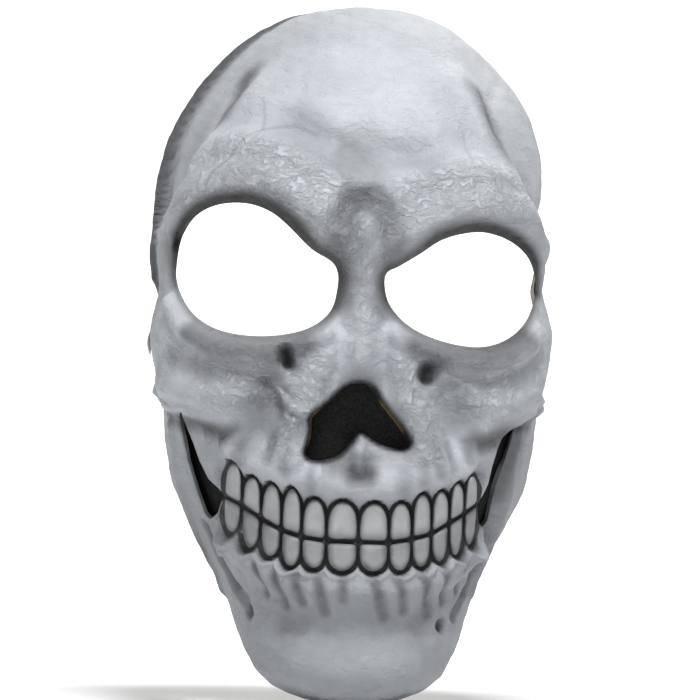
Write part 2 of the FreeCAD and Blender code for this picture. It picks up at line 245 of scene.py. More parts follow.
# Strokes of clay: the line from the front (x, z), its width, and how far it raises or sinks the form
relief = np.zeros(len(form))
strokes = [
    # brow ridges, falling to the nose
    ([(-6, 20), (-18, 23), (-33, 35), (-50, 40), (-66, 36), (-79, 24)], 13, 5.5),
    ([(8, 16), (22, 18), (36, 26), (52, 30), (68, 26), (79, 15)], 13, 5.5),
    ([(-10, 34), (-22, 38), (-36, 46), (-52, 50), (-66, 46)], 27, 5.5),
    ([(10, 32), (24, 33), (38, 38), (52, 40), (66, 36)], 27, 5.5),
    ([(-9, 14), (-22, 27), (-36, 37)], 7, 2.6),
    ([(11, 10), (26, 21), (40, 27)], 7, 2.6),
    # drop between the brows, and the furrow above it
    ([(1.0, 23), (1.2, 14), (1.3, 6)], 10.5, 6.5),
    ([(-1.0, 60), (-0.6, 46), (-0.4, 34)], 14, -4.0),
    ([(-3, 34), (-9, 24), (-12, 14), (-11.5, 6)], 7.5, -4.0),
    ([(4, 34), (10.5, 24), (13.5, 13), (13.5, 4)], 7.5, -4.0),
    ([(-19, 44), (-14, 34)], 14, 3.0),
    ([(17, 42), (13, 33)], 14, 3.0),
    # forehead
    ([(-28, 82)], 36, 3.0),
    ([(30, 82)], 36, 3.0),
    ([(-30, 66), (-18, 59), (-10, 55)], 12, -3.2),
    ([(14, 54), (26, 53)], 11, -2.8),
    ([(-56, 58), (-38, 55), (-22, 48)], 10, 2.2),
    ([(26, 45), (42, 48), (58, 43)], 11, 2.2),
    # bridge of the nose
    ([(1.0, -6), (1.0, -18), (0.8, -30), (0.6, -42)], 12, 8.0),
    ([(0.6, -34), (0.6, -43)], 8, 3.0),
    ([(-9, 0), (-10, -7)], 5, -3.0),
    ([(11, -3), (11.5, -9)], 5, -3.0),
    ([(-13, -27), (-18, -42), (-25, -54), (-29, -66), (-30, -78)], 9, 4.4),
    ([(14, -27), (18, -40), (21, -52), (26, -64), (27, -76)], 9, 4.4),
    # lower rims of the eye holes and the crease below them
    ([(-82, -12), (-75, -24), (-61, -31.5), (-44, -33), (-28, -30.5), (-16, -25)], 6, 3.8),
    ([(-78, -37), (-62, -43), (-44, -44), (-30, -40)], 8, -1.8),
    ([(15, -24), (26, -30.5), (40, -35), (54, -36.5), (68, -32), (79, -22)], 6, 3.8),
    ([(34, -44), (52, -46), (67, -44), (80, -35)], 8, -1.8),
    # cheekbones
    ([(-50, -45), (-64, -46), (-80, -42)], 25, 6.0),
    ([(50, -47), (62, -47), (75, -43)], 24, 6.0),
    ([(-58, -55), (-68, -54), (-82, -50)], 11, 3.0),
    ([(56, -57), (66, -56), (74, -54)], 11, 2.6),
    ([(-56, -64), (-66, -61.5), (-77, -58), (-88, -51)], 6, 3.4),
    ([(54, -66), (64, -64), (74, -60.5), (83, -55)], 6, 3.4),
    # hollows of the cheek
    ([(-39, -52), (-43, -63), (-46, -73)], 12, -6.5),
    ([(39, -54), (42, -65), (45, -75)], 12, -6.5),
    ([(-63, -74), (-60, -84)], 9, -4.0),
    ([(56, -74), (54, -84)], 8, -4.0),
    ([(-32.6, -33.0), (-32.2, -37.5)], 4.6, -6.5),
    ([(29.3, -42.5), (30.4, -39.0)], 6.2, -7.0),
    ([(-38, -50), (-31, -56), (-24, -58)], 3.2, 2.2),
    ([(-34, -60), (-27, -63)], 3.0, 1.8),
    ([(-41, -46), (-36, -52), (-34, -60)], 2.6, -1.4),
    ([(24, -50), (30, -58), (31, -66)], 3.0, -1.2),
    ([(-36, -51), (-30, -55.5), (-25.5, -58.5), (-21.5, -58.5)], 2.0, 1.6),
    ([(-27, -59), (-28.5, -64)], 1.8, 1.2),
    # gums
    ([(-56, -76), (-44, -80), (-30, -86), (-12, -90), (1, -91), (14, -90), (30, -86), (44, -80),
      (54, -75)], 12, 5.0),
    ([(0.4, -72), (0.4, -84)], 5, 3.0),
    ([(-7, -82), (5, -82)], 7, -2.2),
    ([(-56, -116), (-44, -126), (-30, -133), (-12, -136), (1, -136), (14, -136), (30, -133), (44, -127),
      (53, -119)], 9, 4.4),
    # jaw and chin
    ([(-24, -170), (-10, -174), (10, -174), (24, -170)], 17, 5.0),
    ([(-30, -154), (-12, -156), (12, -156), (30, -154)], 12, -3.4),
    ([(-45.5, -146.7)], 4.6, -4.5),
    ([(38.9, -152.1)], 4.6, -4.5),
    ([(-60.5, -106), (-57.5, -113), (-54.0, -121)], 3.4, 3.2),
    ([(57.0, -109), (54.5, -115), (51.5, -121)], 3.2, 3.0),
    ([(-64.5, -111), (-58.5, -124), (-52, -136), (-47, -142)], 4.6, -3.6),
    ([(60.5, -114), (55, -126), (50, -137), (45, -147)], 4.6, -3.6),
    ([(-80, -66), (-77.5, -84), (-73, -100), (-65, -119), (-56, -138)], 5.5, 2.0),
    ([(74, -68), (71.5, -84), (67.5, -100), (61, -118), (53, -138)], 5.5, 2.0),
]
for points, width, height in strokes:
    relief += height * soft_touch(points, width)

# temple planes, which drop away beyond a line down each side of the forehead
temples = (([(-30, 102), (-43.3, 86.5), (-55.6, 72.3), (-68.1, 51.7), (-75.3, 31.2), (-84, 20)], -130),
           ([(38, 100), (50.5, 84), (55.1, 68.2), (62.1, 55.8), (67.3, 40.1), (72.8, 26.3), (83, 14)], 130))
for line, far in temples:
    plane = outside(X, Z,
                    np.vstack([loop(line, closed=False),
                               [(far, line[-1][1]), (far, 160), (line[0][0], 160)]]))
    fade = np.clip((104 - Z) / 22, 0, 1)
    relief += fade * (1.8 * np.exp(-(plane / 3.5) ** 2) - 4.2 * np.exp(-((plane + 8.5) / 6.5) ** 2))

# the ramus lies deeper than the cheekbone in front of it
for side in (-1, 1):
    ramus = soft_touch([(side * 72, -68), (side * 70, -82), (side * 65, -97), (side * 59, -110)], 13)
    relief -= 4.5 * ramus

# flat under the two rivets
for side in (-1, 1):
    relief *= 1 - np.clip(1.8 * soft_touch([(side * 88.6, -30, -14)], 17), 0, 1)

# Twelve teeth in each row: the seams between them, the bite line at the seams, and the two gum lines
seams = [-57.6, -49.8, -41.6, -32.8, -24.1, -13.4, 0.6, 14.0, 24.2, 32.9, 40.8, 47.5, 53.6]
bite_at = [-96.3, -100.3, -105.8, -110.8, -113.6, -115.1, -115.5, -115.5, -113.8, -111.5, -106.6, -102.5,
           -98.0]
gum_line = {"upper": [-81.8, -87.9, -90.8, -92.6, -97.0, -97.8, -98.4, -98.2, -94.0, -92.8, -89.0, -85.7],
            "lower": [-112.5, -119.2, -122.5, -126.6, -127.2, -128.2, -128.2, -127.6, -125.9, -123.6,
                      -120.9, -116.4]}


def tooth_edge(row, k, x, z):
    """Distance outside one tooth's outline, seen from the front, and how far towards the gum."""
    step = 1 if row == "upper" else -1
    bite = np.interp(x, seams, bite_at) + 0.8 * step
    gum = gum_line[row][k]
    t = (z - bite) / (gum - bite)
    half_wide = (seams[k + 1] - seams[k]) / 2 - 0.35
    u = (x - (seams[k] + seams[k + 1]) / 2) / (half_wide * (1 - 0.14 * np.clip(t, 0, 1)))
    v = 2 * t - 1
    n = np.where(v > 0, 2.0, 6.0)
    q = (np.abs(u) ** n + np.abs(v) ** n + 1e-9) ** (1 / n)
    middle = (bite + gum) / 2
    return np.hypot(x - (seams[k] + seams[k + 1]) / 2, z - middle) * (1 - 1 / q), t


# roots of the teeth, raised between soft furrows
roots = [(-41, -126, -38, -139, 2.8), (-33.5, -130, -30, -144, 3.0), (-25.5, -131, -23, -142, 3.0),
         (-16, -131, -13.5, -146, 3.2), (-5.5, -131.5, -5.5, -141, 3.0), (6.5, -131, 12.5, -148, 3.4),
         (16.5, -131, 21.5, -145, 3.2), (27.5, -130, 33, -147, 3.4), (37, -126, 39, -141, 3.0),
         (46, -121, 45, -136, 2.8)]
for x0, z0, x1, z1, wide in roots:
    relief -= 1.1 * soft_touch([(x0, z0), (x1, z1)], wide * 1.2)
for k in range(12):
    middle = (seams[k] + seams[k + 1]) / 2
    gum = gum_line["lower"][k]
    relief += 1.0 * soft_touch([(middle, gum - 4), (middle * 0.97, gum - 15)], 4.6)
    gum = gum_line["upper"][k]
    relief += 1.2 * soft_touch([(middle, gum + 2), (middle * 0.97, gum + 11 + 3 * math.sin(k * 2.3))], 4.4)

# A level floor close round each tooth, and a raised scalloped edge of bone below the lower row
near = np.full(len(form), 99.0)
below = np.full(len(form), 99.0)
for row in ("upper", "lower"):
    for k in range(12):
        away, t = tooth_edge(row, k, X, Z)
        away = np.where((Y < -50) & (np.abs(t) < 4), away, 99.0)
        near = np.minimum(near, away)
        if row == "lower":
            below = np.where(t > 0.6, np.minimum(below, away), below)
relief += 1.9 * np.exp(-((below - 3.6) / 1.2) ** 2)
floor_in = np.clip((2.6 - near) / 1.2, 0, 1)
floor_in = floor_in * floor_in * (3 - 2 * floor_in)
relief = relief * (1 - floor_in) + 1.0 * floor_in

# The rear band steps out beside the sculpted face on the wearer's right
from_rim = np.interp(Z, rim_line[:, 0], rim_line[:, 1]) - Y
flare = np.clip((11.5 - from_rim) / 4, 0, 1)
flare = flare * flare * (3 - 2 * flare) * np.clip((Z + 9) / 8, 0, 1) * np.clip((-X - 18) / 30, 0, 1)
relief = relief * (1 - flare) + 3.4 * flare

# Fine unevenness left by the sculptor's hands
wave = np.sin(X * 0.31 + 1.3 * np.sin(Z * 0.11)) * np.sin(Z * 0.27 + 0.9 * np.sin(X * 0.13 + 2.0)) \
    + 0.6 * np.sin(X * 0.63 + Z * 0.41 + 0.7) * np.sin(Z * 0.57 - X * 0.22)
relief += 0.22 * wave * (1 - floor_in)

shape = form + normal * relief[:, None]

# In-turned edges of the eye holes and the nose
lip_right = outside(shape[:, 0], shape[:, 2], eye_right)
lip_left = outside(shape[:, 0], shape[:, 2], eye_left)
lip_nose = outside(shape[:, 0], shape[:, 2], nose_hole)
front = Y < -30
for lip, wide, depth in ((lip_right, 4.5, 8.0), (lip_left, 4.5, 8.0), (lip_nose, 3.0, 7.0)):
    fold = np.clip(1 - lip / wide, 0, 1.4) ** 2
    shape[:, 1] += np.where(front, depth * fold, 0)

# ---------------------------------------------------------------- paint coats and painted shade on the clay's points
# black: airbrush and wiped-in dark paint, together with painted shade in the hollows, under the brows and
# cheekbones, down the lower face and along the rear band. wrinkle: where the leathery texture was pressed
# in.
black = np.zeros(len(form))


def spray(amount, field):
    """Lays one coat of darkening over what is there: some coats are the mask's paint, some are painted
    shade.
    """
    global black
    black = 1 - (1 - black) * (1 - amount * np.clip(field, 0, 1))


# black paint round the eye holes, with painted shade: the band is wider and darker along the top, under the
# brow
for lip, tilt in ((lip_right, 0.10), (lip_left, 0.12)):
    high = np.clip((Z - 2 + tilt * np.abs(X)) / 20, 0, 1)
    reach_in = 4.6 + 1.4 * high
    spray(0.66 + 0.32 * high, np.where(front, np.clip(1.3 * (1 - lip / reach_in), 0, 1) ** 1.3, 0))
    spray(0.10 + 0.10 * high, np.where(front, np.exp(-np.clip(lip, 0, 99) / 8.0), 0))
spray(0.97, np.where(front, np.clip(1.4 * (1 - lip_nose / 2.6), 0, 1) ** 1.2, 0))
spray(0.50, np.where(front & (X > -16), np.exp(-np.clip(lip_nose, 0, 99) / 4.0), 0))
# Airbrushed coats: the mask's own grey paint in its hollows, strengthened with painted shade where the
# light falls off, under the brows and cheekbones, in the furrows and on the temple planes
coats_and_shade = [
    ([(-0.9, 58), (-0.6, 45), (-0.4, 34)], 11, 0.34),
    ([(-3, 33), (-8.5, 24), (-11, 14), (-10.5, 4)], 7, 0.44),
    ([(4, 33), (10, 24), (13, 13), (13, 2)], 7, 0.44),
    ([(-9, -3), (-9, -10)], 7, 0.50), ([(10.5, -5), (10.5, -12)], 7, 0.50),
    ([(-6, -2), (1.2, -4), (8, -4)], 6, 0.16),
    ([(-30, 66), (-18, 59), (-10, 55)], 13, 0.26), ([(14, 54), (26, 53)], 12, 0.22),
    # painted shade on the temple planes, which turn away from the light beyond the ridges
    ([(-59, 72), (-54, 81), (-50, 90)], 10, 0.72), ([(-79, 40), (-74, 58), (-66, 74)], 12, 0.20),
    ([(54, 82), (59, 70), (65, 56)], 10, 0.80), ([(76, 44), (80, 30)], 10, 0.20),
    ([(-78, -35), (-62, -41), (-44, -42), (-30, -38)], 6, 0.34),
    ([(34, -42), (52, -44), (67, -42), (80, -33)], 6, 0.18),
    ([(-39, -52), (-43, -63), (-46, -74)], 13, 0.32), ([(41, -50), (43, -58)], 11, 0.22),
    ([(-32.6, -33.5), (-32.2, -37)], 4.0, 0.88),
    ([(29.0, -43.0), (29.8, -40)], 5.0, 0.84),
    ([(33, -39), (36, -38)], 4.0, 0.35),
    ([(0.5, -41), (0.5, -46)], 5, 0.45),
    ([(-9, -82), (3, -84)], 7, 0.45), ([(-2, -85.5), (4, -85)], 5.5, 0.80),
    ([(-41, -46), (-36, -52), (-34, -60)], 3, 0.35),
    # painted shadow: a dark band under each cheekbone, on the ramus and the bone just below
    ([(-82, -60), (-74, -65), (-64, -67), (-56, -68)], 6, 0.66),
    ([(78, -62), (70, -66), (62, -68), (54, -70)], 6, 0.66),
    ([(-68, -66), (-60, -70)], 7, 0.50), ([(61, -67), (54, -71)], 7, 0.50),
    ([(-77, -64), (-75.4, -71), (-73, -82), (-70.5, -90), (-67.7, -98), (-64.5, -105)], 2.6, 0.75),
    ([(70, -68), (68, -76), (65, -85), (62.5, -95), (60.5, -106)], 6.5, 0.94),
    ([(73.5, -72), (70, -84), (66, -96)], 6, 0.60),
    ([(-64.5, -111), (-58.5, -124), (-52, -136)], 4.0, 0.55),
    ([(60.5, -112), (55, -125), (50, -137)], 4.0, 0.50),
    ([(-45.5, -146.7)], 4.0, 0.86), ([(38.9, -152.1)], 4.0, 0.78),
    ([(-72, -25), (-62, -30), (-50, -32), (-36, -32), (-24, -29.5)], 6, 0.62),
    ([(24, -30), (36, -33), (50, -34.5), (62, -31.5), (72, -25)], 6, 0.66),
    ([(-76, -100), (-73, -112), (-68, -122)], 9, 0.35),
    ([(-30, -154), (-12, -156), (12, -156), (30, -154)], 12, 0.22),
    ([(-50.5, -74), (-50, -80)], 3.8, 0.42),
    ([(-37.5, -71), (-37.5, -79)], 3.4, 0.40),
    ([(-30.6, -76), (-30.6, -84)], 3.2, 0.36),
    ([(-20, -84), (-20, -92)], 3.0, 0.28),
    ([(27.5, -79), (27.5, -88)], 3.2, 0.30),
    ([(34.5, -75), (34.5, -84)], 3.2, 0.40),
    ([(40.5, -73), (40.5, -82)], 3.0, 0.42),
    ([(48.5, -72), (48.5, -79)], 3.0, 0.46),
    ([(20, -84), (19, -92)], 4.0, 0.30),
    ([(-61.6, 36.6), (-54.2, 48.2), (-49.9, 54.4), (-42.0, 61.5), (-36.7, 64.7), (-30.0, 66.9),
      (-20.2, 63.3)], 1.4, 0.24),
    ([(-41.5, 62), (-41.2, 70.0), (-41.8, 77.2)], 1.3, 0.18),
    ([(44.1, 64.2), (44.8, 57), (45.2, 50.8)], 1.4, 0.18),
]
for points, width, amount in coats_and_shade:
    spray(amount, soft_touch(points, 1.35 * width) if width > 2 else soft_touch(points, width) ** 0.7)
for x0, z0, x1, z1, wide in roots:
    spray(0.42, soft_touch([(x0, z0), (x1, z1)], wide * 1.3))
    spray(0.30, soft_touch([(x0, z0), ((x0 + x1) / 2, (z0 + z1) / 2)], wide * 0.8))
spray(0.97, np.clip((2.5 - near) / 0.8, 0, 1))
spray(0.30, np.exp(-np.clip(near - 1.4, 0, 99) / 2.2) * (near < 20) * (below > 20))
# painted highlight: the dark coats are thinned along the crest of the raised bone edge below the lower row
black *= 1 - 0.55 * np.exp(-((below - 3.9) / 1.2) ** 2)
# painted shade: darker towards the back, where the sides turn away from the light
spray(0.20, np.clip((Y + 75) / 50, 0, 1))
# painted shade: the whole lower face is darkened for the light falling from above, most of all beside the
# teeth
spray(0.36, np.clip((-84 - Z) / 40, 0, 1))
spray(0.26, np.clip((-52 - Z) / 20, 0, 1) * np.clip((np.abs(X) - 52) / 14, 0, 1))
# painted shade: the rear band on the wearer's right is sprayed dark as a side wall in shadow, and a
# narrower strip all round the rim is darkened too
spray(0.78,
      np.clip((12.0 - from_rim) / 2.0, 0, 1) * np.clip((-X - 14) / 12, 0, 1) * np.clip((Z + 12) / 6, 0, 1))
spray(0.70, np.clip((5 - from_rim) / 4, 0, 1))

# bare: raw latex left showing inside the nose
bare = np.maximum(soft_touch([(-18.5, -62), (-18.5, -71)], 5.5), soft_touch([(10, -58), (16, -67)], 5.0))
bare = np.where(front, np.clip(bare * 2.0, 0, 1) * np.clip((0.6 - lip_nose) / 1.2, 0, 1), 0)

wrinkle = np.full(len(form), 0.22)
for points, width, amount in (
        ([(-70, 40), (-55, 46), (-38, 42), (-22, 34), (-8, 26), (-2, 10)], 22, 1.0),
        ([(76, 26), (60, 38), (40, 36), (24, 30), (8, 22)], 20, 0.9),
        ([(-84, 10), (-86, -10), (-82, -34)], 22, 0.8), ([(84, 8), (86, -10), (80, -36)], 22, 0.8),
        ([(-30, -42), (-46, -46), (-62, -44)], 18, 1.0), ([(30, -46), (46, -50), (62, -46)], 18, 0.9),
        ([(-20, -40), (-26, -60), (-32, -74)], 14, 1.0), ([(20, -40), (26, -56), (30, -72)], 14, 1.0),
        ([(1, 10), (1, -10), (1, -30)], 12, 0.7)):
    wrinkle = np.maximum(wrinkle, amount * soft_touch(points, width) ** 0.5)

# ---------------------------------------------------------------- latex
# Matt airbrushed latex: cool grey-white, darkened by the paint coats and the painted shade, with pores,
# faint mottling and pressed-in wrinkles. Its raw, unpainted side is tan and shows inside the mask.


def noise(nodes, links, place, scale, detail=2.0):
    """Cloudy noise that stays fixed to the piece."""
    cloudy = nodes.new("ShaderNodeTexNoise")
    cloudy.inputs["Scale"].default_value = scale
    cloudy.inputs["Detail"].default_value = detail
    links.new(place.outputs["Object"], cloudy.inputs["Vector"])
    return cloudy


def bumps(nodes, links, height, strength, distance):
    """Fine relief from a height, its distance in metres."""
    relief_node = nodes.new("ShaderNodeBump")
    relief_node.inputs["Strength"].default_value = strength
    relief_node.inputs["Distance"].default_value = distance
    links.new(height, relief_node.inputs["Height"])
    return relief_node


def tones(nodes, links, value, low, high, low_at=0.0, high_at=1.0):
    """A colour between two tones."""
    ramp = nodes.new("ShaderNodeValToRGB")
    first, last = ramp.color_ramp.elements[0], ramp.color_ramp.elements[1]
    first.position, last.position = low_at, high_at
    first.color, last.color = low, high
    links.new(value, ramp.inputs["Fac"])
    return ramp


def paint_coats(nodes, links):
    """The layers laid on a piece's points: red is dark paint and painted shade, green is wrinkles, blue is
    bare latex.
    """
    coat = nodes.new("ShaderNodeAttribute")
    coat.attribute_name = "paint"
    split = nodes.new("ShaderNodeSeparateColor")
    links.new(coat.outputs["Color"], split.inputs["Color"])
    return split


latex = bpy.data.materials.new("latex_paint")
latex.use_nodes = True
nodes, links = latex.node_tree.nodes, latex.node_tree.links
skin = nodes["Principled BSDF"]
skin.inputs["Roughness"].default_value = 0.62
skin.inputs["Specular IOR Level"].default_value = 0.38
place = nodes.new("ShaderNodeTexCoord")
parts = paint_coats(nodes, links)
mottle = noise(nodes, links, place, 34.0, 6.0)
tint = tones(nodes, links, mottle.outputs["Fac"], (0.395, 0.415, 0.445, 1), (0.485, 0.510, 0.540, 1),
             0.30, 0.70)
speck = noise(nodes, links, place, 900.0, 3.0)
speck_dark = nodes.new("ShaderNodeMapRange")
speck_dark.inputs["From Min"].default_value = 0.62
speck_dark.inputs["From Max"].default_value = 0.74
speck_dark.inputs["To Max"].default_value = 0.35
links.new(speck.outputs["Fac"], speck_dark.inputs["Value"])
specked = nodes.new("ShaderNodeMixRGB")
specked.inputs["Color2"].default_value = (0.30, 0.31, 0.33, 1)
links.new(speck_dark.outputs["Result"], specked.inputs["Fac"])
links.new(tint.outputs["Color"], specked.inputs["Color1"])
# the edge of the dark paint and the painted shade is broken up a little by a fine noise
grain = noise(nodes, links, place, 260.0, 5.0)
grain_shift = nodes.new("ShaderNodeMath")
grain_shift.operation = "MULTIPLY_ADD"
grain_shift.inputs[1].default_value = 0.22
grain_shift.inputs[2].default_value = -0.11
links.new(grain.outputs["Fac"], grain_shift.inputs[0])
grain_gate = nodes.new("ShaderNodeMath")
grain_gate.operation = "MULTIPLY"
links.new(parts.outputs["Red"], grain_gate.inputs[0])
links.new(grain_shift.outputs[0], grain_gate.inputs[1])
dark = nodes.new("ShaderNodeMath")
dark.operation = "ADD"
dark.use_clamp = True
links.new(parts.outputs["Red"], dark.inputs[0])
links.new(grain_gate.outputs[0], dark.inputs[1])
painted = nodes.new("ShaderNodeMixRGB")
painted.inputs["Color2"].default_value = (0.012, 0.012, 0.014, 1)
links.new(dark.outputs[0], painted.inputs["Fac"])
links.new(specked.outputs["Color"], painted.inputs["Color1"])
# wrinkles: cells of folded hide, gated by the wrinkle coat
bend = noise(nodes, links, place, 120.0, 4.0)
bent = nodes.new("ShaderNodeMixRGB")
bent.blend_type = "LINEAR_LIGHT"
bent.inputs["Fac"].default_value = 0.006
links.new(place.outputs["Object"], bent.inputs["Color1"])
links.new(bend.outputs["Color"], bent.inputs["Color2"])
flow = nodes.new("ShaderNodeMapping")
flow.inputs["Scale"].default_value = (0.7, 0.7, 1.35)
links.new(bent.outputs["Color"], flow.inputs["Vector"])
cells = nodes.new("ShaderNodeTexNoise")
cells.inputs["Scale"].default_value = 300.0
cells.inputs["Detail"].default_value = 6.0
cells.inputs["Roughness"].default_value = 0.62
cells.inputs["Distortion"].default_value = 0.35
links.new(flow.outputs["Vector"], cells.inputs["Vector"])
folds = nodes.new("ShaderNodeMapRange")
folds.interpolation_type = "SMOOTHSTEP"
folds.inputs["From Min"].default_value = 0.32
folds.inputs["From Max"].default_value = 0.62
links.new(cells.outputs["Fac"], folds.inputs["Value"])
folds_on = nodes.new("ShaderNodeMath")
folds_on.operation = "MULTIPLY"
links.new(folds.outputs["Result"], folds_on.inputs[0])
links.new(parts.outputs["Green"], folds_on.inputs[1])
pores = noise(nodes, links, place, 620.0, 6.0)
pore_bump = bumps(nodes, links, pores.outputs["Fac"], 0.22, 0.0006)
fold_bump = bumps(nodes, links, folds_on.outputs[0], 0.85, 0.0013)
links.new(pore_bump.outputs["Normal"], fold_bump.inputs["Normal"])
links.new(fold_bump.outputs["Normal"], skin.inputs["Normal"])
bared = nodes.new("ShaderNodeMixRGB")
bared.inputs["Color2"].default_value = (0.34, 0.21, 0.07, 1)
links.new(parts.outputs["Blue"], bared.inputs["Fac"])
links.new(painted.outputs["Color"], bared.inputs["Color1"])
links.new(bared.outputs["Color"], skin.inputs["Base Color"])

raw = bpy.data.materials.new("latex_raw")
raw.use_nodes = True
nodes, links = raw.node_tree.nodes, raw.node_tree.links
inner = nodes["Principled BSDF"]
inner.inputs["Roughness"].default_value = 0.55
place = nodes.new("ShaderNodeTexCoord")
cloud = noise(nodes, links, place, 28.0, 8.0)
tan = tones(nodes, links, cloud.outputs["Fac"], (0.33, 0.24, 0.14, 1), (0.50, 0.39, 0.25, 1), 0.32, 0.68)
parts = paint_coats(nodes, links)
over_spray = nodes.new("ShaderNodeMapRange")
over_spray.inputs["From Min"].default_value = 0.25
over_spray.inputs["From Max"].default_value = 0.55
links.new(parts.outputs["Red"], over_spray.inputs["Value"])
sprayed = nodes.new("ShaderNodeMixRGB")
sprayed.inputs["Color2"].default_value = (0.03, 0.028, 0.026, 1)
links.new(over_spray.outputs["Result"], sprayed.inputs["Fac"])
links.new(tan.outputs["Color"], sprayed.inputs["Color1"])
links.new(sprayed.outputs["Color"], inner.inputs["Base Color"])
ripple = noise(nodes, links, place, 420.0, 5.0)
ripple_bump = bumps(nodes, links, ripple.outputs["Fac"], 0.3, 0.0006)
links.new(ripple_bump.outputs["Normal"], inner.inputs["Normal"])

# ---------------------------------------------------------------- the two latex skins
# Cast from the clay: the skull part above the parting, and the lower jaw below it, 2 mm thick.
bite_line = list(zip(seams, bite_at))
skull_lower = np.array([(-130, -34), (-92, -49), (-86, -54), (-82.3, -57.1), (-76.8, -60.2),
                        (-73.7, -67.3), (-70.8, -74), (-67.9, -81.8), (-63.9, -89.6), (-59.6, -93.6)]
                       + bite_line
                       + [(56.1, -94.1), (58.2, -89.6), (59.8, -81.8), (61.9, -74), (64.0, -69.0),
                          (67.3, -65.6), (74, -62.4), (79.5, -59.3), (88, -51), (130, -30), (130, -260),
                          (-130, -260)], float)
jaw_outline = np.array([(-130, -26), (-92, -41), (-83, -49), (-77, -54), (-77.1, -61.8), (-75.3, -70.7),
                        (-72.9, -81.8), (-70.5, -89.6), (-67.7, -97.5), (-64.8, -105.3), (-62.5, -107.5),
                        (-59.5, -104.5)]
                       + [(x, z - 0.9) for x, z in bite_line]
                       + [(54.5, -106.5), (57.2, -109.0), (59.4, -106.0), (60.4, -101), (61.4, -95.2),
                          (63.4, -87.4), (66.5, -78.5), (68.8, -70.7), (70.5, -62), (76, -54), (84, -46),
                          (92, -38), (130, -20), (130, -260), (-130, -260)], float)
parting = outside(shape[:, 0], shape[:, 2], skull_lower)
tucked = np.clip((parting + 3.5) / 4, 0, 1) * (Z > -75)
tucked = tucked * tucked * (3 - 2 * tucked)
for name, sink in (("skull_latex", 0.0), ("jaw_latex", 3.0)):
    cast = shape - normal * (sink * tucked)[:, None]
    field = parting if name == "skull_latex" else -outside(cast[:, 0], cast[:, 2], jaw_outline)
    skin_faces = corners
    data = np.column_stack([cast, black, wrinkle, bare])
    flange = 1.7 * np.clip(cast[:, 2] / 20, 0, 1)
    fields = [field, np.where(front, outside(cast[:, 0], cast[:, 2], eye_right) + flange, 50),
              np.where(front, outside(cast[:, 0], cast[:, 2], eye_left) + flange, 50),
              np.where(front, outside(cast[:, 0], cast[:, 2], nose_cut), 50)]
    if name == "jaw_latex":
        fields = fields[:1]
    for j, cut in enumerate(fields):
        data = np.column_stack([data, cut])
    for j in range(len(fields)):
        data, skin_faces = trim(data, skin_faces, data[:, 6 + j])
    used, skin_faces = np.unique(skin_faces, return_inverse=True)
    skin_faces = skin_faces.reshape(-1, 3)
    data = data[used]
    mesh = bpy.data.meshes.new(name)
    mesh.from_pydata((data[:, :3] * 0.001).tolist(), [], skin_faces.tolist())
    mesh.update()
    paint = mesh.color_attributes.new("paint", "FLOAT_COLOR", "POINT")
    coats_rgba = np.column_stack([data[:, 3:6], np.ones(len(data))])
    paint.data.foreach_set("color", coats_rgba.ravel().astype(np.float32))
    piece = bpy.data.objects.new(name, mesh)
    bpy.context.collection.objects.link(piece)
    piece.data.materials.append(latex)
    piece.data.materials.append(raw)
    bpy.ops.object.select_all(action="DESELECT")
    bpy.context.view_layer.objects.active = piece
    piece.select_set(True)
    wall = piece.modifiers.new("wall", "SOLIDIFY")
    wall.thickness = 0.002
    wall.offset = -1.0
    wall.material_offset = 1
    piece.vertex_groups.new(name="inner")
    wall.shell_vertex_group = "inner"
    bpy.ops.object.modifier_apply(modifier="wall")
    tris = sum(len(p.vertices) - 2 for p in piece.data.polygons)
    if tris > 190000:
        thin = piece.modifiers.new("thin", "DECIMATE")
        thin.ratio = 186000 / tris
        thin.vertex_group = "inner"
        thin.vertex_group_factor = 8.0
        bpy.ops.object.modifier_apply(modifier="thin")
    bpy.ops.object.shade_smooth_by_angle(angle=math.radians(50))
    bpy.ops.object.select_all(action="DESELECT")
bpy.data.objects.remove(clay)
skull = bpy.data.objects["skull_latex"]
jaw = bpy.data.objects["jaw_latex"]
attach(skull, "face")
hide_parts("skull_skin")
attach(jaw, "jaw")
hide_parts("jaw_skin")

# ---------------------------------------------------------------- teeth
# Moulded latex teeth, each a rounded block: square at the bite and arched at the gum, with paint
# wiped into their edges and painted shade round their rims, towards the gum and over the lower row.
enamel = bpy.data.materials.new("tooth_paint")
enamel.use_nodes = True
nodes, links = enamel.node_tree.nodes, enamel.node_tree.links
tooth_skin = nodes["Principled BSDF"]
tooth_skin.inputs["Roughness"].default_value = 0.58
place = nodes.new("ShaderNodeTexCoord")
parts = paint_coats(nodes, links)
stain = noise(nodes, links, place, 150.0, 6.0)
bone = tones(nodes, links, stain.outputs["Fac"], (0.30, 0.31, 0.32, 1), (0.42, 0.43, 0.435, 1), 0.30, 0.66)
# dark paint and painted shade creep unevenly in from the edges
edge_break_noise = noise(nodes, links, place, 150.0, 2.5)
creep = nodes.new("ShaderNodeMath")
creep.operation = "MULTIPLY_ADD"
creep.inputs[1].default_value = 2.6
creep.inputs[2].default_value = -0.3
links.new(edge_break_noise.outputs["Fac"], creep.inputs[0])
crept = nodes.new("ShaderNodeMath")
crept.operation = "MULTIPLY"
crept.use_clamp = True
links.new(creep.outputs[0], crept.inputs[0])
links.new(parts.outputs["Red"], crept.inputs[1])
solid_edge = nodes.new("ShaderNodeMapRange")
solid_edge.inputs["From Min"].default_value = 0.55
solid_edge.inputs["From Max"].default_value = 0.90
links.new(parts.outputs["Red"], solid_edge.inputs["Value"])
edge_paint_and_shade = nodes.new("ShaderNodeMath")
edge_paint_and_shade.operation = "MAXIMUM"
links.new(crept.outputs[0], edge_paint_and_shade.inputs[0])
